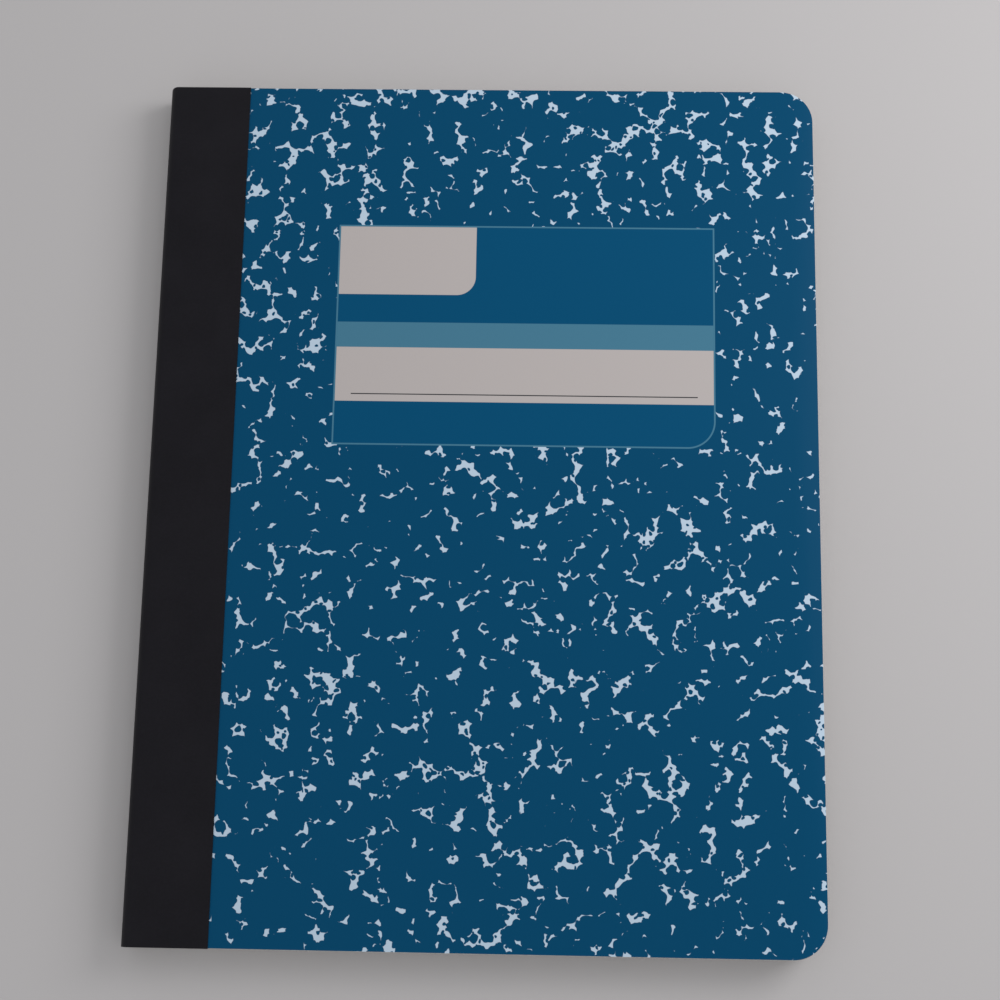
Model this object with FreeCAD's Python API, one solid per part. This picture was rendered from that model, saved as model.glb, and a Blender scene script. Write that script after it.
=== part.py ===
import FreeCAD, Part
import math
import os
import random

# Composition notebook, closed, lying on its back cover.
# Millimetres. X runs from the spine to the fore-edge, Y from the tail to the head and Z upwards.
# The origin is under the middle of the book, on the surface that it lies on.
# In the profiles below, u is the distance from the outermost line of the spine.

# The trimmed book
WIDTH = 190.5
HEIGHT = 247.65
CORNER_RADIUS = 9.5

# The leaves: folded sheets, nested and sewn through the middle fold
LEAF_COUNT = 100
LEAF_THICKNESS = 0.082
SHEET_GAP_COUNT = 3
SHEET_GAP_WIDTH = 0.12
SHEET_GAP_DEPTH = 0.15

# The covers
BOARD_THICKNESS = 0.95
END_PAPER_THICKNESS = 0.1
BOARD_JOINT = 0.2

# The tape over the spine
TAPE_THICKNESS = 0.2
TAPE_LAP = 24.4
SPINE_DEPTH = 2.8
TAPE_FOLD_SLIT = 0.1
GLUE_LINE = 0.05

# The sewing
THREAD_DIAMETER = 0.45
THREAD_SIDES = 6
STITCH_PITCH = 11.0
STITCH_MARGIN = 9.0
NEEDLE_CLEARANCE = 0.03

# The print on the covers
INK_THICKNESS = 0.1
LABEL_WIDTH = 109.0
LABEL_HEIGHT = 65.7
LABEL_FROM_SPINE = 52.4
LABEL_FROM_HEAD = 42.6
LABEL_RADIUS = 8.0
LABEL_OUTLINE = 0.45
TAB_WIDTH = 39.6
TAB_HEIGHT = 20.6
TAB_RADIUS = 5.5
BAND_TOP = 29.4
BAND_HEIGHT = 7.5
PANEL_HEIGHT = 16.0
WRITING_LINE_INSET = 5.0
WRITING_LINE_RISE = 2.3
WRITING_LINE_WIDTH = 0.3

# The marbling: white flecks where the drops of colour did not meet
FLECK_TRIES = 1500
FLECK_REACH_LEAST = 2.9
FLECK_REACH_MOST = 10.0
FLECK_SMALLNESS = 1.6
FLECK_SPACING_RATIO = 1.06
FLECK_TIP_COUNTS = (2, 2, 3, 3, 3, 4)
FLECK_TIP_RATIO = 0.6
FLECK_WAIST_RATIO_LEAST = 0.26
FLECK_WAIST_RATIO_MOST = 0.44
FLECK_SKEW_RATIO = 0.22
FLECK_AREA_RATIO = 0.12
FRONT_SEED = 11
BACK_SEED = 29

# How far a cutting shape passes the edges that it cuts
CUT_OVERLAP = 1.0

# Worked out from the sizes above
BLOCK_THICKNESS = LEAF_COUNT * LEAF_THICKNESS
COVER_THICKNESS = TAPE_THICKNESS + BOARD_THICKNESS + END_PAPER_THICKNESS
THICKNESS = BLOCK_THICKNESS + 2 * COVER_THICKNESS
MIDDLE = THICKNESS / 2
BLOCK_TOP = MIDDLE + BLOCK_THICKNESS / 2
BOARD_BOTTOM = BLOCK_TOP + END_PAPER_THICKNESS
BOARD_TOP = BOARD_BOTTOM + BOARD_THICKNESS
BOARD_START = SPINE_DEPTH + BOARD_JOINT
BLOCK_NOSE = TAPE_THICKNESS + GLUE_LINE
GUTTER = BLOCK_NOSE + BLOCK_THICKNESS / 2
QUARTER = math.pi / 2


def point(u, z, y=0.0):
    return FreeCAD.Vector(u - WIDTH / 2, y, z)


def along_book(face):
    """Carries a profile, drawn in the plane of the tail, up to the head."""
    return face.extrude(FreeCAD.Vector(0, HEIGHT, 0))


def profile_face(edges):
    return Part.Face(Part.Wire(Part.__sortEdges__(edges)))


def tail_point(u, z):
    return point(u, z, -HEIGHT / 2)


def line(*corners):
    """The straight edges that join the corners, each a (u, z) pair at the tail."""
    ends = [tail_point(*corner) for corner in corners]
    return [Part.makeLine(a, b) for a, b in zip(ends, ends[1:])]


def spine_point(inset, angle):
    """A point of the rounded spine, inset from its outside; the angle rises from the middle."""
    depth = SPINE_DEPTH - inset
    half = MIDDLE - inset
    return SPINE_DEPTH - depth * math.cos(angle), MIDDLE + half * math.sin(angle)


def fold_arc(centre_u, depth, half, low, high):
    """Half-elliptic bend of a fold that points to the spine, between two angles."""
    centre = tail_point(centre_u, MIDDLE)
    top = tail_point(centre_u, MIDDLE + half)
    nose = tail_point(centre_u - depth, MIDDLE)
    ellipse = Part.Ellipse(top, nose, centre)
    return Part.ArcOfEllipse(ellipse, QUARTER - high, QUARTER - low).toShape()


def spine_arc(inset, low, high):
    return fold_arc(SPINE_DEPTH, SPINE_DEPTH - inset, MIDDLE - inset, low, high)


def trimmed_outline(start, inset=0.0):
    """Plan of the book from u = start to the fore-edge, with its two rounded corners."""
    radius = CORNER_RADIUS - inset
    fore = WIDTH - inset
    head = HEIGHT / 2 - inset
    turn = radius * (1 - math.sqrt(0.5))
    edges = [
        Part.makeLine(point(start, 0, head), point(fore - radius, 0, head)),
        Part.Arc(point(fore - radius, 0, head), point(fore - turn, 0, head - turn),
                 point(fore, 0, head - radius)).toShape(),
        Part.makeLine(point(fore, 0, head - radius), point(fore, 0, radius - head)),
        Part.Arc(point(fore, 0, radius - head), point(fore - turn, 0, turn - head),
                 point(fore - radius, 0, -head)).toShape(),
        Part.makeLine(point(fore - radius, 0, -head), point(start, 0, -head)),
        Part.makeLine(point(start, 0, -head), point(start, 0, head)),
    ]
    return profile_face(edges)


def raised(face, bottom, thickness):
    """A flat piece: the face lifted to its height and given its thickness."""
    return face.translated(FreeCAD.Vector(0, 0, bottom)).extrude(FreeCAD.Vector(0, 0, thickness))


def on_back(shape):
    """The same piece on the back cover, turned over about the middle of the book."""
    return shape.mirror(FreeCAD.Vector(0, 0, MIDDLE), FreeCAD.Vector(0, 0, 1))


def hinge_angle():
    """Where the tape leaves the outer leaf, and bends when a cover opens."""
    return math.asin((BLOCK_THICKNESS / 2) / (MIDDLE - TAPE_THICKNESS))


def slit_angle():
    """Half of the slit at the bend, as an angle of the spine's outside."""
    angle = hinge_angle()
    run = math.hypot(SPINE_DEPTH * math.sin(angle), MIDDLE * math.cos(angle))
    return TAPE_FOLD_SLIT / 2 / run


def nested_fold(half, nose):
    """A folded sheet seen from the tail, filled: two flat leaves and the bend between them."""
    depth = half * (SPINE_DEPTH - BLOCK_NOSE) / (MIDDLE - BLOCK_NOSE)
    start = nose + depth
    fore = WIDTH + CUT_OVERLAP
    bend = fold_arc(start, depth, half, -QUARTER, QUARTER)
    flat = line((start, MIDDLE + half), (fore, MIDDLE + half), (fore, MIDDLE - half),
                (start, MIDDLE - half))
    return along_book(profile_face([bend] + flat))


def sheet_gaps():
    """Fine gaps between bundles of folded sheets, seen at the three trimmed edges."""
    rim = trimmed_outline(0).cut(trimmed_outline(-CUT_OVERLAP, SHEET_GAP_DEPTH))
    rim = raised(rim.Faces[0], 0, THICKNESS)
    pitch = BLOCK_THICKNESS / 2 / (SHEET_GAP_COUNT + 0.5)
    gaps = []
    for number in range(SHEET_GAP_COUNT):
        half = pitch * (number + 0.5)
        nose = GUTTER - half
        outside = nested_fold(half + SHEET_GAP_WIDTH / 2, nose - SHEET_GAP_WIDTH / 2)
        inside = nested_fold(half - SHEET_GAP_WIDTH / 2, nose + SHEET_GAP_WIDTH / 2)
        gaps.append(outside.cut(inside).common(rim))
    return gaps


def thread_run(start, direction, length, radius):
    """A straight run of pulled thread, with flat sides."""
    corners = []
    for number in range(THREAD_SIDES):
        swing = math.tau * (number + 0.5) / THREAD_SIDES
        sideways = radius * math.cos(swing)
        upwards = radius * math.sin(swing)
        corners.append(start + FreeCAD.Vector(direction.y * sideways, direction.x * sideways, upwards))
    section = Part.Face(Part.makePolygon(corners + corners[:1]))
    return section.extrude(direction * length)


def stitches(clearance):
    """Thread laid along the outer fold and the gutter, and drawn through the folds between."""
    radius = THREAD_DIAMETER / 2
    bore = radius + clearance
    flat = radius * math.cos(math.pi / THREAD_SIDES)
    outer = BLOCK_NOSE + flat
    inner = GUTTER + flat
    count = int((HEIGHT - 2 * STITCH_MARGIN) / STITCH_PITCH)
    run = count * STITCH_PITCH
    along = FreeCAD.Vector(0, 1, 0)
    across = FreeCAD.Vector(1, 0, 0)
    runs = [thread_run(point(u, MIDDLE, -run / 2 - bore), along, run + 2 * bore, bore)
            for u in (outer, inner)]
    for number in range(count + 1):
        hole = point(outer, MIDDLE, number * STITCH_PITCH - run / 2)
        runs.append(thread_run(hole, across, inner - outer, bore))
    return runs[0].multiFuse(runs[1:]).removeSplitter()


def page_block():
    """All the leaves, trimmed together: a rounded fold at the spine and rounded outer corners."""
    corner = math.asin((BLOCK_THICKNESS / 2) / (MIDDLE - BLOCK_NOSE))
    nose = spine_arc(BLOCK_NOSE, -corner, corner)
    start = spine_point(BLOCK_NOSE, corner)[0]
    bottom = MIDDLE - BLOCK_THICKNESS / 2
    flat = line((start, BLOCK_TOP), (WIDTH, BLOCK_TOP), (WIDTH, bottom), (start, bottom))
    leaves = along_book(profile_face([nose] + flat))
    leaves = leaves.common(raised(trimmed_outline(0), 0, THICKNESS))
    return leaves.cut(sheet_gaps() + [stitches(NEEDLE_CLEARANCE)])


def spine_tape():
    """The strip of tape that is glued round the folds, between its two bends."""
    edge = hinge_angle() - slit_angle()
    outside = spine_arc(0, -edge, edge)
    inside = spine_arc(TAPE_THICKNESS, -edge, edge)
    ends = []
    for angle in (-edge, edge):
        ends += line(spine_point(0, angle), spine_point(TAPE_THICKNESS, angle))
    return along_book(profile_face([outside, inside] + ends))


def tape_wing():
    """The tape from its bend, over the shoulder and on to the front board."""
    start = hinge_angle() + slit_angle()
    outside = spine_arc(0, start, QUARTER)
    inside = spine_arc(TAPE_THICKNESS, start, QUARTER)
    lap = line((SPINE_DEPTH, THICKNESS), (TAPE_LAP, THICKNESS), (TAPE_LAP, BOARD_TOP),
               (SPINE_DEPTH, BOARD_TOP))
    end = line(spine_point(0, start), spine_point(TAPE_THICKNESS, start))
    return along_book(profile_face([outside, inside] + lap + end))


def board():
    return raised(trimmed_outline(BOARD_START), BOARD_BOTTOM, BOARD_THICKNESS)


def end_paper():
    return raised(trimmed_outline(BOARD_START), BLOCK_TOP, END_PAPER_THICKNESS)


def label_face(left, top, width, height, radius=0.0, inset=0.0):
    """A field of the label, measured from its top left corner, rounded at its lower right."""
    x0 = LABEL_FROM_SPINE + left + inset - WIDTH / 2
    x1 = LABEL_FROM_SPINE + left + width - inset - WIDTH / 2
    y1 = HEIGHT / 2 - LABEL_FROM_HEAD - top - inset
    y0 = HEIGHT / 2 - LABEL_FROM_HEAD - top - height + inset
    if radius == 0:
        return Part.makePlane(x1 - x0, y1 - y0, FreeCAD.Vector(x0, y0, 0))
    bend = radius - inset
    turn = bend * (1 - math.sqrt(0.5))
    right = FreeCAD.Vector(x1, y0 + bend, 0)
    low = FreeCAD.Vector(x1 - bend, y0, 0)
    corners = [low, FreeCAD.Vector(x0, y0, 0), FreeCAD.Vector(x0, y1, 0),
               FreeCAD.Vector(x1, y1, 0), right]
    edges = [Part.makeLine(a, b) for a, b in zip(corners, corners[1:])]
    edges.append(Part.Arc(right, FreeCAD.Vector(x1 - turn, y0 + turn, 0), low).toShape())
    return profile_face(edges)


def printed(faces):
    """Print on the front board, as thin films."""
    return Part.makeCompound([raised(face, BOARD_TOP, INK_THICKNESS) for face in faces])


def label_whites():
    """The white tab and the white panel for a name."""
    inner_width = LABEL_WIDTH - 2 * LABEL_OUTLINE
    tab = label_face(LABEL_OUTLINE, LABEL_OUTLINE, TAB_WIDTH, TAB_HEIGHT, TAB_RADIUS)
    panel = label_face(LABEL_OUTLINE, BAND_TOP + BAND_HEIGHT, inner_width, PANEL_HEIGHT)
    return printed([tab, panel])


def label_light_blue():
    """The light blue band, and the thin outline round the whole label."""
    outer = label_face(0, 0, LABEL_WIDTH, LABEL_HEIGHT, LABEL_RADIUS)
    inner = label_face(0, 0, LABEL_WIDTH, LABEL_HEIGHT, LABEL_RADIUS, LABEL_OUTLINE)
    band = label_face(LABEL_OUTLINE, BAND_TOP, LABEL_WIDTH - 2 * LABEL_OUTLINE, BAND_HEIGHT)
    ring = raised(outer.cut(inner), BOARD_TOP, INK_THICKNESS)
    return ring.fuse(raised(band, BOARD_TOP, INK_THICKNESS)).removeSplitter()


def writing_line():
    """The dark line to write a name on, printed over the white panel."""
    bottom = BAND_TOP + BAND_HEIGHT + PANEL_HEIGHT - WRITING_LINE_RISE
    width = LABEL_WIDTH - 2 * WRITING_LINE_INSET
    face = label_face(WRITING_LINE_INSET, bottom, width, WRITING_LINE_WIDTH)
    return raised(face, BOARD_TOP + INK_THICKNESS, INK_THICKNESS / 2)


def fleck_face(x, y, reach, tips, draw):
    """A gap between round drops: a few drawn-out tips with a waist between each two."""
    turn = draw.uniform(0, math.tau)
    corners = []
    for number in range(2 * tips):
        angle = turn + math.pi * (number + draw.uniform(-FLECK_SKEW_RATIO, FLECK_SKEW_RATIO)) / tips
        length = reach * draw.uniform(FLECK_TIP_RATIO, 1)
        if number % 2:
            length = reach * draw.uniform(FLECK_WAIST_RATIO_LEAST, FLECK_WAIST_RATIO_MOST)
        corners.append(FreeCAD.Vector(x + length * math.cos(angle), y + length * math.sin(angle), 0))
    return Part.Face(Part.makePolygon(corners + corners[:1]))


def marbling(seed, field):
    """Flecks strewn over a field of the cover, large and small, and cut off at its edges."""
    draw = random.Random(seed)
    spread = FLECK_REACH_MOST - FLECK_REACH_LEAST
    placed = []
    faces = []
    for attempt in range(FLECK_TRIES):
        reach = FLECK_REACH_LEAST + spread * draw.random() ** FLECK_SMALLNESS
        x = draw.uniform(TAPE_LAP, WIDTH) - WIDTH / 2
        y = draw.uniform(-HEIGHT / 2, HEIGHT / 2)
        tips = draw.choice(FLECK_TIP_COUNTS)
        if all(math.hypot(x - a, y - b) > FLECK_SPACING_RATIO * (reach + r) for a, b, r in placed):
            placed.append((x, y, reach))
            faces.append(fleck_face(x, y, reach, tips, draw))
    least = FLECK_AREA_RATIO * FLECK_REACH_LEAST ** 2
    shapes = Part.makeCompound(faces).common(field).Faces
    flecks = [raised(face, BOARD_TOP, INK_THICKNESS) for face in shapes if face.Area > least]
    return Part.makeCompound(flecks)


def front_marbling():
    label = label_face(0, 0, LABEL_WIDTH, LABEL_HEIGHT, LABEL_RADIUS)
    return marbling(FRONT_SEED, trimmed_outline(TAPE_LAP).cut(label))


def back_marbling():
    return on_back(marbling(BACK_SEED, trimmed_outline(TAPE_LAP)))


def main():
    pieces = {
        "page_block": page_block(),
        "sewing_thread": stitches(0),
        "spine_tape": spine_tape(),
        "front_board": board(),
        "front_tape_wing": tape_wing(),
        "front_end_paper": end_paper(),
        "front_marbling": front_marbling(),
        "label_whites": label_whites(),
        "label_light_blue": label_light_blue(),
        "label_writing_line": writing_line(),
        "back_board": on_back(board()),
        "back_tape_wing": on_back(tape_wing()),
        "back_end_paper": on_back(end_paper()),
        "back_marbling": back_marbling(),
    }
    os.makedirs("parts", exist_ok=True)
    for name, shape in pieces.items():
        shape.exportStep("parts/" + name + ".step")
        print(name, len(shape.Solids), "solids", round(shape.Volume, 1), "mm3", shape.isValid())


main()
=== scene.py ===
# %% [markdown]
# A composition notebook lies closed on a pale table and is seen from almost straight above.
# The imported model gives the true sizes: boards, tape, leaves and where the covers turn.
# This file dresses it. Each piece is modelled over its solid, in metres. The boards and the
# leaves ride on the bodies of their solids, so that the covers still open.

# %% Load the model
import bmesh
import bpy
import math
import random
from mathutils import Matrix, Vector


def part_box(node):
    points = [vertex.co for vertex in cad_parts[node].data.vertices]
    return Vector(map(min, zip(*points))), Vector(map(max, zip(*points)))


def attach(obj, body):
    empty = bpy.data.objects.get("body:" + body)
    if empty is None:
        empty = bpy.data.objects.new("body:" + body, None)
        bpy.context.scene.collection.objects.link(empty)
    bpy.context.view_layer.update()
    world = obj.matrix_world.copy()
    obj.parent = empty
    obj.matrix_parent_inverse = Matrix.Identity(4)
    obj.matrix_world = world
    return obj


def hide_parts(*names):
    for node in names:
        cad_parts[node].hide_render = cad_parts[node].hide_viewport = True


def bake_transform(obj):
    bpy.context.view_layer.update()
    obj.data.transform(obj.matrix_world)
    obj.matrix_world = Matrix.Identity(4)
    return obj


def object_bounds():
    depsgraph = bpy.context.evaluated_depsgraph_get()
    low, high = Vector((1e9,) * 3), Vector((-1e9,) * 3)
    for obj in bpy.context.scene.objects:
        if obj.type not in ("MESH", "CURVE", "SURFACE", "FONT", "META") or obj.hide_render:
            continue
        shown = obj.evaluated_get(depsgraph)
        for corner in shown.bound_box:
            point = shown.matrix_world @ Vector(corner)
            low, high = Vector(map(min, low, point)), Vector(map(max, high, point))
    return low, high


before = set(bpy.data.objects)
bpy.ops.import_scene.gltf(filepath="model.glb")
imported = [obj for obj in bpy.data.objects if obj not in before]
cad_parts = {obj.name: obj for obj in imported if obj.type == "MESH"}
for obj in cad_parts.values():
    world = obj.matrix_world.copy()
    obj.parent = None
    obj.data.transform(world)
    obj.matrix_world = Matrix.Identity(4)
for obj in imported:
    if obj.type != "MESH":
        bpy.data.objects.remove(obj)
cad_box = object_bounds()
MM = 0.001

# %% [markdown]
# The sizes come from the model's own boxes. Only what a box can't tell is typed here: the
# radius of the trimmed corners, the thickness of the tape, how far the spine is rounded and
# the number of folded sheets.

# %% Sizes of the book
BOOK_LOW, BOOK_HIGH = cad_box
SPINE = BOOK_LOW.x
FORE_EDGE = BOOK_HIGH.x
HEAD = BOOK_HIGH.y
TAIL = BOOK_LOW.y
MIDDLE = (BOOK_LOW.z + BOOK_HIGH.z) / 2
TAPE_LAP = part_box("front_tape_wing")[1].x
BLOCK_HALF = (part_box("page_block")[1].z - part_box("page_block")[0].z) / 2
CORNER_RADIUS = 9.5 * MM
TAPE_THICKNESS = 0.2 * MM
SPINE_DEPTH = 2.8 * MM
SHEETS = 50
print("book", [round(side / MM, 1) for side in BOOK_HIGH - BOOK_LOW], "mm")

# %% [markdown]
# Modelling by code is modelling by hand with the clicks written down. These helpers do the
# things that every piece needs: add a primitive at its size, pick vertices or edges by where
# they are, round a sheet over the spine, apply a modifier, and give the finished piece its
# material.

# %% Helpers for modelling
SAME_PLACE = 0.01 * MM
MERGE_REACH = 0.0005 * MM
PAST_EDGE = 0.0001 * MM
BEND_SEGMENTS = 3
SMOOTH_ANGLE = math.radians(35)


def add_plate(name, low, high):
    """A box between two corners, with its place in its mesh."""
    bpy.ops.object.select_all(action="DESELECT")
    bpy.ops.mesh.primitive_cube_add(size=1, location=(low + high) / 2)
    plate = bpy.context.object
    plate.name = name
    plate.scale = high - low
    bpy.ops.object.transform_apply(location=True, rotation=True, scale=True)
    return plate


def pick_vertices(test):
    """Selects the vertices of the mesh in hand whose place passes the test."""
    bpy.ops.mesh.select_all(action="DESELECT")
    bpy.ops.mesh.select_mode(type="VERT")
    mesh = bmesh.from_edit_mesh(bpy.context.object.data)
    for vertex in mesh.verts:
        if test(vertex.co):
            vertex.select_set(True)
    mesh.select_flush_mode()
    bmesh.update_edit_mesh(bpy.context.object.data)


def pick_edges(test):
    """Selects the edges of the mesh in hand whose middle passes the test."""
    bpy.ops.mesh.select_all(action="DESELECT")
    bpy.ops.mesh.select_mode(type="EDGE")
    mesh = bmesh.from_edit_mesh(bpy.context.object.data)
    for edge in mesh.edges:
        if test((edge.verts[0].co + edge.verts[1].co) / 2):
            edge.select_set(True)
    mesh.select_flush_mode()
    bmesh.update_edit_mesh(bpy.context.object.data)


def near(a, b):
    return abs(a - b) < SAME_PLACE


def apply_modifier(piece, kind, **settings):
    modifier = piece.modifiers.new(kind.title(), kind)
    for name, value in settings.items():
        setattr(modifier, name, value)
    bpy.ops.object.modifier_apply(modifier=modifier.name)


def flat_sheet(name, start, end, height, corner_segments=0):
    """A flat rectangle from start to end, left in edit mode. It may have two round corners."""
    centre = ((start + end) / 2, (TAIL + HEAD) / 2, height)
    bpy.ops.object.select_all(action="DESELECT")
    bpy.ops.mesh.primitive_plane_add(size=1, location=centre)
    sheet = bpy.context.object
    sheet.name = name
    sheet.scale = (end - start, HEAD - TAIL, 1)
    bpy.ops.object.transform_apply(location=True, rotation=True, scale=True)
    bpy.ops.object.mode_set(mode="EDIT")
    if corner_segments:
        pick_vertices(lambda place: near(place.x, end))
        bpy.ops.mesh.bevel(offset=CORNER_RADIUS, segments=corner_segments, affect="VERTICES")
    return sheet


def round_the_spine(start, half, angle, turn, squeeze, steps):
    """Extrudes the sheet's spine edge round the spine's oval.

    The edge lies at x = start, half above the middle of the book or below it. It is spun on a
    circle that meets the sheet at the angle, and then the circle is squeezed to the oval."""
    radius = abs(half) / math.sin(angle)
    centre = (start + radius * math.cos(angle), 0, MIDDLE)
    pick_edges(lambda place: near(place.x, start) and near(place.z, MIDDLE + half))
    bpy.ops.mesh.spin(steps=steps, angle=math.copysign(turn, half), axis=(0, 1, 0), center=centre)
    pick_vertices(lambda place: place.x < start - PAST_EDGE)
    bpy.ops.transform.resize(value=(squeeze, 1, 1), center_override=(start, 0, MIDDLE))
    bpy.ops.mesh.select_all(action="SELECT")
    bpy.ops.mesh.remove_doubles(threshold=MERGE_REACH)


def soften_bend(start, half, radius):
    """Rounds the line where a flat leaf turns down into its fold."""
    pick_edges(lambda place: near(place.x, start) and near(abs(place.z - MIDDLE), abs(half)))
    bpy.ops.mesh.bevel(offset=radius, segments=BEND_SEGMENTS, affect="EDGES")


def face_outwards(sheet, side):
    """Turns the sheet over if its flat part doesn't face away from the middle of the book."""
    if sum(face.normal.z * face.area for face in sheet.data.polygons) * side < 0:
        sheet.data.flip_normals()


def finish_piece(piece, finishes, choose=None):
    """Smooth shading, the materials, and which face has which."""
    bpy.ops.object.shade_smooth_by_angle(angle=SMOOTH_ANGLE)
    for finish in finishes:
        piece.data.materials.append(finish)
    if choose:
        for face in piece.data.polygons:
            face.material_index = choose(face)


# %% [markdown]
# A material's maths reads best as maths. Wire wraps one socket of a node, and adding or
# multiplying two wires adds the Math node that does it. Shader makes every other node.

# %% Helpers for materials
class Wire:
    def __init__(self, shader, socket):
        self.shader = shader
        self.socket = socket

    def math(self, operation, *others):
        node = self.shader.tree.nodes.new("ShaderNodeMath")
        node.operation = operation
        for socket, value in zip(node.inputs, (self,) + others):
            self.shader.plug(socket, value)
        return Wire(self.shader, node.outputs[0])

    def __add__(self, other):
        return self.math("ADD", other)

    def __radd__(self, other):
        return self.math("ADD", other)

    def __sub__(self, other):
        return self.math("SUBTRACT", other)

    def __rsub__(self, other):
        return self.math("MULTIPLY", -1.0).math("ADD", other)

    def __mul__(self, other):
        return self.math("MULTIPLY", other)

    def __abs__(self):
        return self.math("ABSOLUTE")

    def least(self, other):
        return self.math("MINIMUM", other)

    def most(self, other):
        return self.math("MAXIMUM", other)

    def above(self, level, softness):
        """0 well under the level and 1 well over it, with an edge as wide as softness."""
        return ((self - level) * (1 / softness) + 0.5).least(1.0).most(0.0)

    def below(self, level, softness):
        return 1 - self.above(level, softness)


class Shader:
    def __init__(self, name):
        self.material = bpy.data.materials.new(name)
        self.material.use_nodes = True
        self.tree = self.material.node_tree
        self.surface = self.tree.nodes["Principled BSDF"]

    def plug(self, socket, value):
        if isinstance(value, Wire):
            self.tree.links.new(value.socket, socket)
        else:
            socket.default_value = value

    def node(self, kind, settings=None, sockets=None, output=0):
        """Adds a node. Its settings come first, then the values or links of its sockets."""
        node = self.tree.nodes.new(kind)
        for name, value in (settings or {}).items():
            setattr(node, name, value)
        for name, value in (sockets or {}).items():
            self.plug(node.inputs[name], value)
        return Wire(self, node.outputs[output])

    def vector(self, operation, a, b):
        return self.node("ShaderNodeVectorMath", {"operation": operation}, {0: a, 1: b})

    def place(self):
        """Where the point is on the piece, in millimetres."""
        coordinates = self.node("ShaderNodeTexCoord", output="Object")
        return self.vector("MULTIPLY", coordinates, (1 / MM, 1 / MM, 1 / MM))

    def along(self, vector, axis):
        return self.node("ShaderNodeSeparateXYZ", sockets={0: vector}, output=axis)

    def stretched(self, vector, x, y, z):
        return self.vector("MULTIPLY", vector, (x, y, z))

    def noise(self, vector, size, detail=2.0, roughness=0.5, output="Fac"):
        """Cloudy noise whose lumps are about as large as size, in millimetres."""
        sockets = {"Vector": vector, "Scale": 1 / size, "Detail": detail, "Roughness": roughness}
        return self.node("ShaderNodeTexNoise", {}, sockets, output)

    def mix(self, share, a, b):
        """Colour a where share is 0 and colour b where it is 1."""
        settings = {"data_type": "RGBA"}
        return self.node("ShaderNodeMix", settings, {0: share, 6: a, 7: b}, 2)

    def bump(self, height, strength, distance=0.05 * MM):
        return self.node("ShaderNodeBump", {}, {"Height": height, "Strength": strength,
                                                "Distance": distance})

    def set(self, **sockets):
        for name, value in sockets.items():
            self.plug(self.surface.inputs[name.replace("_", " ")], value)
        return self.material


def ink(red, green, blue):
    """A colour as a paint program shows it, from 0 to 255, as the light it reflects."""
    levels = [level / 255 for level in (red, green, blue)]
    light = [((level + 0.055) / 1.055) ** 2.4 if level > 0.04 else level / 12.92
             for level in levels]
    return (*light, 1.0)


# %% [markdown]
# The marbled print is the heart of the look. On a real cover drops of colour spread on a
# bath until they almost meet, and the white left over is what lies outside every drop: it
# has concave sides, thin necks and sharp tips. So the pattern is made the same way. Each
# layer below is a cloud of round drops of one size. A Voronoi texture gives the distance to
# the nearest drop's centre, and a point is white when it is outside the drops of all layers.
# A layer is given by its drops' radius and by their distance apart, in millimetres.
# The drops spread further in some places than in others, and a little less far at the head.

# %% The marbled pattern
INK_BLUE = ink(0, 67, 101)
PAPER_WHITE = ink(177, 196, 212)
DROP_LAYERS = (
    (3.6, 8.8),
    (2.55, 6.8),
    (1.85, 5.1),
    (1.3, 3.8),
    (0.92, 2.9),
    (0.53, 2.2),
)
DROP_SHIFT = 137.0
DROP_SLANT = 1.7
DROP_MELT = 0.25
WANDER_SIZE = 2.4
WANDER_REACH = 1.9
CLUSTER_SIZE = 26.0
CLUSTER_SWING = 0.8
CLUSTER_SHIFT = 400.0
HEAD_DEPTH = 24.0
HEAD_FADE = 18.0
HEAD_WIDENING = 0.14
PRINT_EDGE = 0.1


def drop_gaps(shader, place, start):
    """How far a point lies outside every drop, in millimetres; it is negative inside one."""
    cloud = shader.noise(place, WANDER_SIZE, detail=1.0, output="Color")
    wander = shader.vector("SUBTRACT", cloud, (0.5, 0.5, 0.5))
    wander = shader.stretched(wander, WANDER_REACH, WANDER_REACH, 0.0)
    shaken = shader.vector("ADD", place, wander)
    gap = None
    for number, (radius, spacing) in enumerate(DROP_LAYERS):
        shift = start + DROP_SHIFT * number
        spot = shader.vector("ADD", shaken, (shift, shift * DROP_SLANT, 0.0))
        settings = {"voronoi_dimensions": "2D", "feature": "F1"}
        away = shader.node("ShaderNodeTexVoronoi", settings,
                           {"Vector": spot, "Scale": 1 / spacing}, "Distance")
        outside = away * spacing - radius
        gap = outside if gap is None else gap.math("SMOOTH_MIN", outside, DROP_MELT)
    moved = shader.vector("ADD", place, (0.0, CLUSTER_SHIFT, 0.0))
    crowd = shader.noise(moved, CLUSTER_SIZE, detail=1.0)
    at_head = shader.along(place, "Y").above(HEAD / MM - HEAD_DEPTH, HEAD_FADE)
    return gap + (crowd - 0.5) * CLUSTER_SWING + at_head * HEAD_WIDENING


def marbled(shader, place, start):
    """1 on the white flecks and 0 on the colour."""
    return drop_gaps(shader, place, start).above(0.0, PRINT_EDGE)


print("drops from", 2 * DROP_LAYERS[-1][0], "to", 2 * DROP_LAYERS[0][0], "mm across")

# %% [markdown]
# The label is printed on the same sheet, so it is part of the cover's colour and not a piece
# of its own. Each of its fields is a box given by its four sides, and the distance to that
# box decides where the field's ink starts.

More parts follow.
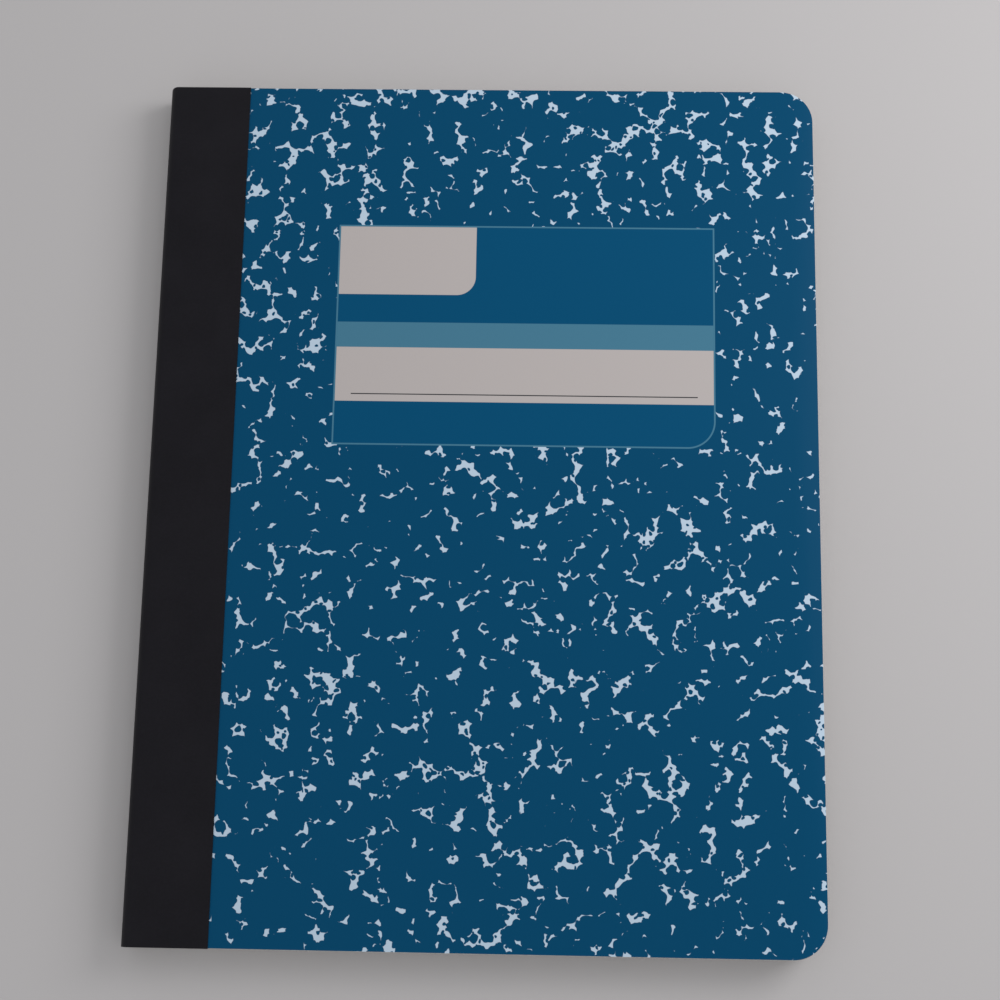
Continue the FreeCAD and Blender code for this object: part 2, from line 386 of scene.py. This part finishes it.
# %% The printed label
LABEL_LOW, LABEL_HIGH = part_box("label_light_blue")
LABEL_LEFT = LABEL_LOW.x / MM
LABEL_TOP = LABEL_HIGH.y / MM
LABEL_WIDTH = (LABEL_HIGH.x - LABEL_LOW.x) / MM
LABEL_DEPTH = (LABEL_HIGH.y - LABEL_LOW.y) / MM
LABEL_RADIUS = 8.0
OUTLINE = 0.45
TAB_WIDTH = 39.6
TAB_DEPTH = 20.6
TAB_RADIUS = 5.5
BAND_TOP = 29.4
PANEL_TOP = 36.9
PANEL_FOOT = 52.9
LINE_INSET = 5.0
LINE_TOP = 50.6
LINE_FOOT = 50.9
TAB = (OUTLINE, OUTLINE, OUTLINE + TAB_WIDTH, OUTLINE + TAB_DEPTH)
BAND = (OUTLINE, BAND_TOP, LABEL_WIDTH - OUTLINE, PANEL_TOP)
PANEL = (OUTLINE, PANEL_TOP, LABEL_WIDTH - OUTLINE, PANEL_FOOT)
WRITING_LINE = (LINE_INSET, LINE_TOP, LABEL_WIDTH - LINE_INSET, LINE_FOOT)
SHARP = 0.1
LABEL_BLUE = ink(0, 72, 108)
LIGHT_BLUE = ink(66, 115, 138)
LABEL_WHITE = ink(174, 168, 166)
LINE_BLACK = ink(30, 34, 40)


def to_field(across, down, box, radius):
    """Distance to a field, negative inside it; its lower right corner is rounded."""
    left, top, right, bottom = box
    over = (across - (right - radius)).most(0.0)
    under = (down - (bottom - radius)).most(0.0)
    corner = (over * over + under * under).math("SQRT") - radius
    return corner.most(left - across).most(top - down)


def with_label(shader, place, colour):
    """Lays the label's fields over the marbled colour."""
    across = shader.along(place, "X") - LABEL_LEFT
    down = LABEL_TOP - shader.along(place, "Y")
    whole = to_field(across, down, (0.0, 0.0, LABEL_WIDTH, LABEL_DEPTH), LABEL_RADIUS)
    colour = shader.mix(whole.below(0.0, PRINT_EDGE), colour, LABEL_BLUE)
    for box, radius, paint in ((TAB, TAB_RADIUS, LABEL_WHITE), (BAND, SHARP, LIGHT_BLUE),
                               (PANEL, SHARP, LABEL_WHITE), (WRITING_LINE, SHARP, LINE_BLACK)):
        field = to_field(across, down, box, radius).below(0.0, PRINT_EDGE)
        colour = shader.mix(field, colour, paint)
    ring = abs(whole + OUTLINE / 2).below(OUTLINE / 2, PRINT_EDGE)
    return shader.mix(ring, colour, LIGHT_BLUE)


print("label", round(LABEL_WIDTH, 1), "by", round(LABEL_DEPTH, 1), "mm")

# %% [markdown]
# The print is sealed with a satin varnish over paper. It is slightly uneven to the touch:
# long shallow waves from the damp glue, and a fine tooth from the fibres.

# %% The cover's finishes
TOOTH_SIZE = 0.35
TOOTH_HEIGHT = 0.35
WAVE_SIZE = 22.0
WAVE_HEIGHT = 6.0
VARNISH_ROUGHNESS = 0.43
VARNISH_UNEVENNESS = 0.12
VARNISH_GLOSS = 0.06
VARNISH_BUMP = 0.35
BOARD_LAYER_STRETCH = (0.25, 0.25, 6.0)
BOARD_LAYER_SIZE = 0.8
BOARD_ROUGHNESS = 0.85
BOARD_BUMP = 0.6
BOARD_DARK = ink(150, 146, 140)
BOARD_PALE = ink(205, 201, 195)
FRONT_START = 0.0
BACK_START = 911.0


def printed_cover(name, start, label):
    """The print and its varnish. Start says where in the endless pattern the cover is cut."""
    shader = Shader(name)
    place = shader.place()
    colour = shader.mix(marbled(shader, place, start), INK_BLUE, PAPER_WHITE)
    if label:
        colour = with_label(shader, place, colour)
    tooth = shader.noise(place, TOOTH_SIZE, detail=3.0, roughness=0.6)
    waves = shader.noise(place, WAVE_SIZE, detail=2.0)
    rough = VARNISH_ROUGHNESS + (tooth - 0.5) * VARNISH_UNEVENNESS
    height = tooth * TOOTH_HEIGHT + waves * WAVE_HEIGHT
    return shader.set(Base_Color=colour, Roughness=rough,
                      Normal=shader.bump(height, VARNISH_BUMP), Specular_IOR_Level=VARNISH_GLOSS)


def raw_board():
    """The cut edge of the board: pressed grey fibre in thin layers."""
    shader = Shader("raw_board")
    place = shader.place()
    layered = shader.stretched(place, *BOARD_LAYER_STRETCH)
    layers = shader.noise(layered, BOARD_LAYER_SIZE, detail=4.0, roughness=0.65)
    colour = shader.mix(layers, BOARD_DARK, BOARD_PALE)
    return shader.set(Base_Color=colour, Roughness=BOARD_ROUGHNESS,
                      Normal=shader.bump(layers, BOARD_BUMP))


FRONT_PRINT = printed_cover("front_cover_print", FRONT_START, True)
BACK_PRINT = printed_cover("back_cover_print", BACK_START, False)
RAW_BOARD = raw_board()
print(FRONT_PRINT.name, "has", len(FRONT_PRINT.node_tree.nodes), "nodes")

# %% [markdown]
# A cover is a board with two rounded corners at the fore-edge and square ones under the tape.
# It starts as a box of the solid's size. The two upright fore-edge lines are bevelled to the
# corner radius, and then the rims get the small roll that the guillotine leaves.

# %% The two cover boards
RIM = 0.22 * MM
RIM_SEGMENTS = 3
CORNER_SEGMENTS = 18
FLAT = 0.9


def cover_board(name, node, print_finish, outward):
    """One board. Its flat outer face has the print, and the rest is raw board."""
    low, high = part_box(node)
    board = add_plate(name, low, high)
    bpy.ops.object.mode_set(mode="EDIT")
    pick_edges(lambda place: near(place.x, high.x) and near(place.z, (low.z + high.z) / 2))
    bpy.ops.mesh.bevel(offset=CORNER_RADIUS, segments=CORNER_SEGMENTS, affect="EDGES")
    pick_edges(lambda place: near(place.z, high.z) or near(place.z, low.z))
    bpy.ops.mesh.bevel(offset=RIM, segments=RIM_SEGMENTS, affect="EDGES")
    bpy.ops.object.mode_set(mode="OBJECT")
    finish_piece(board, [print_finish, RAW_BOARD],
                 lambda face: 0 if face.normal.z * outward > FLAT else 1)
    return board


front_cover = cover_board("front_cover_board", "front_board", FRONT_PRINT, 1)
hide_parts("front_board", "front_marbling", "label_whites", "label_light_blue",
            "label_writing_line")
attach(front_cover, "front_cover")
back_cover = cover_board("back_cover_board", "back_board", BACK_PRINT, -1)
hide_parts("back_board", "back_marbling")
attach(back_cover, "back_cover")
print("boards", len(front_cover.data.polygons), "faces each")

# %% [markdown]
# The tape is black cloth with a thin satin coating, so its threads only just show. Three sine
# waves along the axes make the weave, and the product of two of them is a grid of small
# bumps that works on the flat parts and round the spine alike. Soft noise adds the grain.

# %% The tape's finish
WEAVE_PITCH = 0.42
WEAVE_HEIGHT = 0.12
GRAIN_SIZE = 0.5
GRAIN_HEIGHT = 0.6
CLOUD_SIZE = 14.0
WORN_BY_GRAIN = 0.6
WORN_BY_CLOUDS = 0.4
WORN_EDGE = 0.5
TAPE_BLACK = ink(13, 12, 17)
TAPE_WORN = ink(24, 23, 28)
TAPE_ROUGHNESS = 0.52
TAPE_UNEVENNESS = 0.2
TAPE_GLOSS = 0.11
TAPE_BUMP = 0.5


def cloth_tape():
    shader = Shader("black_cloth_tape")
    place = shader.place()
    across, down, through = [(shader.along(place, axis) * (2 * math.pi / WEAVE_PITCH)).math("SINE")
                             for axis in ("X", "Y", "Z")]
    weave = across * down + through * down
    grain = shader.noise(place, GRAIN_SIZE, detail=3.0, roughness=0.6)
    cloudy = shader.noise(place, CLOUD_SIZE, detail=2.0)
    worn = (grain * WORN_BY_GRAIN + cloudy * WORN_BY_CLOUDS).above(0.5, WORN_EDGE)
    colour = shader.mix(worn, TAPE_BLACK, TAPE_WORN)
    rough = TAPE_ROUGHNESS + (grain - 0.5) * TAPE_UNEVENNESS
    height = weave * WEAVE_HEIGHT + grain * GRAIN_HEIGHT
    return shader.set(Base_Color=colour, Roughness=rough, Normal=shader.bump(height, TAPE_BUMP),
                      Specular_IOR_Level=TAPE_GLOSS)


CLOTH_TAPE = cloth_tape()
print("weave of", WEAVE_PITCH, "mm")

# %% [markdown]
# The tape is one strip from one cover round the spine to the other. It is made in two halves
# that meet at the spine's outermost line. A flat strip is extruded round the shoulder with
# the spin tool, the quarter circle is squeezed to the spine's oval, and Solidify gives the
# cloth its thickness. The spin has many short steps.

# %% The tape
QUARTER = math.pi / 2
BEND_STEPS = 36


def bend_at_hinge(piece):
    """Bakes the piece's place into its mesh; it doesn't bend with the cover."""
    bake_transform(piece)


def half_of_tape(name, side):
    shoulder = SPINE + SPINE_DEPTH
    half = side * (BOOK_HIGH.z - MIDDLE)
    tape = flat_sheet(name + "_tape", shoulder, TAPE_LAP, MIDDLE + half)
    round_the_spine(shoulder, half, QUARTER, QUARTER, SPINE_DEPTH / abs(half), BEND_STEPS)
    bpy.ops.mesh.normals_make_consistent(inside=False)
    bpy.ops.object.mode_set(mode="OBJECT")
    face_outwards(tape, side)
    apply_modifier(tape, "SOLIDIFY", thickness=TAPE_THICKNESS, offset=-1)
    finish_piece(tape, [CLOTH_TAPE])
    bend_at_hinge(tape)
    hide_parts(name + "_tape_wing")
    print(tape.name, len(tape.data.polygons), "faces")
    return tape


front_tape = half_of_tape("front", 1)
half_of_tape("back", -1)
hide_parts("spine_tape")

# %% [markdown]
# Uncoated paper is white, soft and slightly mottled. The linings inside the covers are plain.
# The first and last pages carry a school ruling: blue lines 8.7 mm apart and a red margin
# line. It is drawn by place, and only on the outer faces of the whole block of leaves.

# %% The paper finishes
RULE_SPACING = 8.73
RULE_WIDTH = 0.28
HEAD_SPACE = 31.0
FOOT_SPACE = 12.0
MARGIN = 31.75
MARGIN_WIDTH = 0.3
RULE_EDGE = 0.1
SKIN_DEPTH = 0.03
SKIN_EDGE = 0.01
INK_STRENGTH = 0.75
RULE_BLUE = ink(96, 140, 190)
MARGIN_RED = ink(200, 92, 104)
LINING_SHADE = ink(196, 194, 189)
LINING_PALE = ink(212, 210, 206)
PAGE_SHADE = ink(186, 184, 178)
PAGE_PALE = ink(216, 214, 209)
LINING_FIBRES = 0.6
LINING_CLOUDS = 9.0
PAGE_FIBRES = 0.5
PAGE_STRETCH = (0.02, 0.02, 9.0)
PAPER_ROUGHNESS = 0.8
FIBRE_BUMP = 0.4


def lining_paper():
    shader = Shader("lining_paper")
    place = shader.place()
    fibres = shader.noise(place, LINING_FIBRES, detail=4.0, roughness=0.65)
    clouds = shader.noise(place, LINING_CLOUDS, detail=3.0)
    colour = shader.mix(fibres * 0.5 + clouds * 0.5, LINING_SHADE, LINING_PALE)
    return shader.set(Base_Color=colour, Roughness=PAPER_ROUGHNESS,
                      Normal=shader.bump(fibres, FIBRE_BUMP))


def rule_lines(y):
    """1 on the blue lines, which start under the head space and end above the foot space."""
    down = HEAD / MM - HEAD_SPACE - y
    from_middle = abs(down.math("MODULO", RULE_SPACING) - RULE_SPACING / 2)
    rules = from_middle.above(RULE_SPACING / 2 - RULE_WIDTH / 2, RULE_EDGE)
    return rules * down.above(-RULE_WIDTH, RULE_EDGE) * (y - TAIL / MM).above(FOOT_SPACE, RULE_EDGE)


def margin_lines(x, z):
    """1 on the red line, at the spine on the first page and at the fore-edge on the last."""
    upper = z.above(MIDDLE / MM, RULE_EDGE)
    first = abs(x - (SPINE / MM + MARGIN)).below(MARGIN_WIDTH / 2, RULE_EDGE)
    last = abs(x - (FORE_EDGE / MM - MARGIN)).below(MARGIN_WIDTH / 2, RULE_EDGE)
    return first * upper + last * (1 - upper)


def ruled_paper():
    shader = Shader("ruled_paper")
    place = shader.place()
    x, y, z = [shader.along(place, axis) for axis in ("X", "Y", "Z")]
    fibres = shader.noise(place, PAGE_FIBRES, detail=4.0, roughness=0.65)
    leaf = shader.noise(shader.stretched(place, *PAGE_STRETCH), 1.0, detail=2.0, roughness=0.6)
    colour = shader.mix(fibres * 0.4 + leaf * 0.6, PAGE_SHADE, PAGE_PALE)
    outer = abs(z - MIDDLE / MM).above(BLOCK_HALF / MM - SKIN_DEPTH, SKIN_EDGE)
    colour = shader.mix(rule_lines(y) * outer * INK_STRENGTH, colour, RULE_BLUE)
    colour = shader.mix(margin_lines(x, z) * outer * INK_STRENGTH, colour, MARGIN_RED)
    return shader.set(Base_Color=colour, Roughness=PAPER_ROUGHNESS,
                      Normal=shader.bump(fibres, FIBRE_BUMP))


LINING_PAPER = lining_paper()
RULED_PAPER = ruled_paper()
print("rules every", RULE_SPACING, "mm from", HEAD_SPACE, "mm under the head")

# %% [markdown]
# The outermost sheet of the book is its lining. Its two leaves are pasted to the insides of
# the boards, and its fold lies between the tape and the other folds. Each half starts as a
# flat leaf at the height of the paste. It gets cuts near the hinge, and then it goes round
# the spine to the middle.

# %% The two linings
LINING_THICKNESS = 0.04 * MM
LINING_INSET = 0.225 * MM
LINING_BEND = 0.08 * MM
LINING_CUTS = 10
CUT_PITCH = 0.15 * MM


def half_of_lining(name, side):
    low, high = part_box(name + "_end_paper")
    half = (low.z + high.z) / 2 - MIDDLE
    oval_depth = SPINE_DEPTH - LINING_INSET
    oval_half = BOOK_HIGH.z - MIDDLE - LINING_INSET
    angle = math.asin(abs(half) / oval_half)
    start = SPINE + SPINE_DEPTH - oval_depth * math.cos(angle)
    lining = flat_sheet(name + "_lining", start, FORE_EDGE, MIDDLE + half, CORNER_SEGMENTS)
    for number in range(LINING_CUTS):
        bpy.ops.mesh.select_all(action="SELECT")
        bpy.ops.mesh.bisect(plane_co=(start + (number + 1) * CUT_PITCH, 0, 0), plane_no=(1, 0, 0))
    round_the_spine(start, half, angle, angle, oval_depth / oval_half, BEND_STEPS)
    soften_bend(start, half, LINING_BEND)
    bpy.ops.mesh.select_all(action="SELECT")
    bpy.ops.mesh.normals_make_consistent(inside=False)
    bpy.ops.object.mode_set(mode="OBJECT")
    face_outwards(lining, side)
    apply_modifier(lining, "SOLIDIFY", thickness=LINING_THICKNESS, offset=0)
    finish_piece(lining, [LINING_PAPER])
    bend_at_hinge(lining)
    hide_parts(name + "_end_paper")
    print(lining.name, len(lining.data.polygons), "faces")


half_of_lining("front", 1)
half_of_lining("back", -1)

# %% [markdown]
# The page block is fifty sheets, each folded once and nested in the next, so every sheet is
# two leaves joined by a bend at the spine. One flat leaf is a plane whose fore-edge corners
# are bevelled. A copy of it is the lower leaf. The spine edge is spun from the upper leaf to
# the lower one, squeezed to the spine's oval, and softened where the leaf turns into the
# fold. Solidify gives each sheet its thickness. A little chance in the trim makes the
# fore-edge a stack of leaves and not a smooth block.

# %% The leaves
BLOCK_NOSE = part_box("page_block")[0].x
LEAF_PITCH = BLOCK_HALF / SHEETS
PAPER_SHARE = 0.85
PAPER_THICKNESS = PAPER_SHARE * LEAF_PITCH
TRIM_CHANCE = 0.05 * MM
TRIM_SEED = 5
LEAF_CORNER_SEGMENTS = 8
LEAF_BEND_PART = 8
FOLD_STEPS = 12
OVAL_HALF = BOOK_HIGH.z - MIDDLE - (BLOCK_NOSE - SPINE)
OVAL_SQUEEZE = (SPINE + SPINE_DEPTH - BLOCK_NOSE) / OVAL_HALF
FOLD_ANGLE = math.asin(BLOCK_HALF / OVAL_HALF)
FOLD_DEPTH = OVAL_SQUEEZE * (1 - math.cos(FOLD_ANGLE)) / math.sin(FOLD_ANGLE)
chance = random.Random(TRIM_SEED)


def folded_sheet(number):
    """Two leaves and their fold. Number 0 is the innermost sheet, next to the middle fold."""
    half = (number + 0.5) * LEAF_PITCH
    nose = BLOCK_NOSE + (SHEETS - 0.5 - number) * LEAF_PITCH
    start = nose + FOLD_DEPTH * half
    fore_edge = FORE_EDGE - chance.uniform(0, TRIM_CHANCE)
    sheet = flat_sheet("leaf", start, fore_edge, MIDDLE + half, LEAF_CORNER_SEGMENTS)
    bpy.ops.mesh.select_all(action="SELECT")
    bpy.ops.transform.resize(value=(1, 1 - chance.uniform(0, TRIM_CHANCE) / HEAD, 1),
                             center_override=(0, 0, 0))
    bpy.ops.mesh.duplicate()
    bpy.ops.transform.translate(value=(0, 0, -2 * half))
    bpy.ops.mesh.flip_normals()
    round_the_spine(start, half, FOLD_ANGLE, 2 * FOLD_ANGLE, OVAL_SQUEEZE, FOLD_STEPS)
    soften_bend(start, half, half / LEAF_BEND_PART)
    bpy.ops.object.mode_set(mode="OBJECT")
    apply_modifier(sheet, "SOLIDIFY", thickness=PAPER_THICKNESS, offset=0)
    return sheet


sheets = [folded_sheet(number) for number in range(SHEETS)]
bpy.ops.object.select_all(action="DESELECT")
for sheet in sheets:
    sheet.select_set(True)
bpy.context.view_layer.objects.active = sheets[-1]
bpy.ops.object.join()
leaves = bpy.context.object
leaves.name = "leaves"
finish_piece(leaves, [RULED_PAPER])
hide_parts("page_block")
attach(leaves, "pages")
print("leaves", len(leaves.data.polygons), "faces")

# %% [markdown]
# The sewing thread stays as the solid gives it, under the tape. It gets slanting bands along
# the pull, raised by a bump, with painted shade in the grooves where the bump is low.

# %% The thread's finish
TWIST_PITCH = 0.5
TWIST_SLANT = 0.8
THREAD_SHADE = ink(176, 172, 165)
THREAD_PALE = ink(222, 219, 212)
THREAD_ROUGHNESS = 0.75
THREAD_BUMP = 0.6


def twisted_thread():
    shader = Shader("twisted_thread")
    place = shader.place()
    x, y, z = [shader.along(place, axis) for axis in ("X", "Y", "Z")]
    slant = y + z * TWIST_SLANT + x * TWIST_SLANT
    twist_and_groove_shade = (slant * (2 * math.pi / TWIST_PITCH)).math("SINE") * 0.5 + 0.5
    # The shade colour lies where the bump is low: painted shade in the grooves of the twist.
    colour = shader.mix(twist_and_groove_shade, THREAD_SHADE, THREAD_PALE)
    return shader.set(Base_Color=colour, Roughness=THREAD_ROUGHNESS,
                      Normal=shader.bump(twist_and_groove_shade, THREAD_BUMP))


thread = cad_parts["sewing_thread"]
thread.data.materials.clear()
thread.data.materials.append(twisted_thread())
print("thread", len(thread.data.polygons), "faces, kept as they are")

# %% [markdown]
# The table is a plain pale surface. The light is soft: an even pale sky does most of it, as in
# a bright room, so the shadows at the spine and the tail are faint. A lamp beyond the
# fore-edge makes that side of the picture a little brighter.

# %% Table and light
SKY_COLOUR = (0.985, 0.985, 1.0, 1.0)
SKY_LEVEL = 0.76
LAMP_COLOUR = (1.0, 0.985, 0.985)
LAMP_PLACE = Vector((0.47, 0.23, 0.37))
LAMP_SIZE = 0.35
LAMP_LEVEL = 2.03
TABLE_GREY = ink(178, 176, 176)
TABLE_ROUGHNESS = 0.9
TABLE_GLOSS = 0.1
TABLE_SIZE = 60
TABLE_GAP = 0.02 * MM


def pale_table():
    shader = Shader("pale_table")
    return shader.set(Base_Color=TABLE_GREY, Roughness=TABLE_ROUGHNESS,
                      Specular_IOR_Level=TABLE_GLOSS)


bpy.ops.object.select_all(action="DESELECT")
bpy.ops.mesh.primitive_plane_add(size=TABLE_SIZE, location=(0, 0, BOOK_LOW.z - TABLE_GAP))
table = bpy.context.object
table.name = "table"
table.data.materials.append(pale_table())

sky = bpy.data.worlds.new("sky")
bpy.context.scene.world = sky
sky.use_nodes = True
sky.node_tree.nodes["Background"].inputs["Color"].default_value = SKY_COLOUR
sky.node_tree.nodes["Background"].inputs["Strength"].default_value = SKY_LEVEL

bpy.ops.object.light_add(type="AREA", location=LAMP_PLACE)
lamp = bpy.context.object
lamp.data.size = LAMP_SIZE
lamp.data.energy = LAMP_LEVEL
lamp.data.color = LAMP_COLOUR
lamp.rotation_mode = "QUATERNION"
lamp.rotation_quaternion = (-LAMP_PLACE).to_track_quat("-Z", "Y")
print("lamp", round(LAMP_PLACE.length, 2), "m from the book")

# %% [markdown]
# The camera looks down from over the half of the cover that is nearer the tail, as the
# photograph was taken. Its place was worked out from the book's four corners in the
# photograph, and its focal length is given in widths of the picture.

# %% Camera
CAMERA_PLACE = Vector((16.6, -89.1, 465.4)) * MM
CAMERA_AIM = Vector((5.4, 0.0, 10.6)) * MM
PICTURE_TURN = math.radians(0.8)
FOCAL_WIDTHS = 1.646
SENSOR_WIDTH = 36
NEAREST_SEEN = 0.01

bpy.ops.object.camera_add(location=CAMERA_PLACE)
camera = bpy.context.object
camera.data.sensor_width = SENSOR_WIDTH
camera.data.lens = SENSOR_WIDTH * FOCAL_WIDTHS
camera.data.clip_start = NEAREST_SEEN
back = (CAMERA_PLACE - CAMERA_AIM).normalized()
right = Vector((math.cos(PICTURE_TURN), math.sin(PICTURE_TURN), 0))
up = back.cross(right).normalized()
right = up.cross(back)
turned = Matrix((right, up, back)).transposed().to_4x4()
camera.matrix_world = Matrix.Translation(CAMERA_PLACE) @ turned
bpy.context.scene.camera = camera
bpy.context.scene.view_settings.view_transform = "Standard"
print("camera", round((CAMERA_PLACE - CAMERA_AIM).length, 3), "m away")
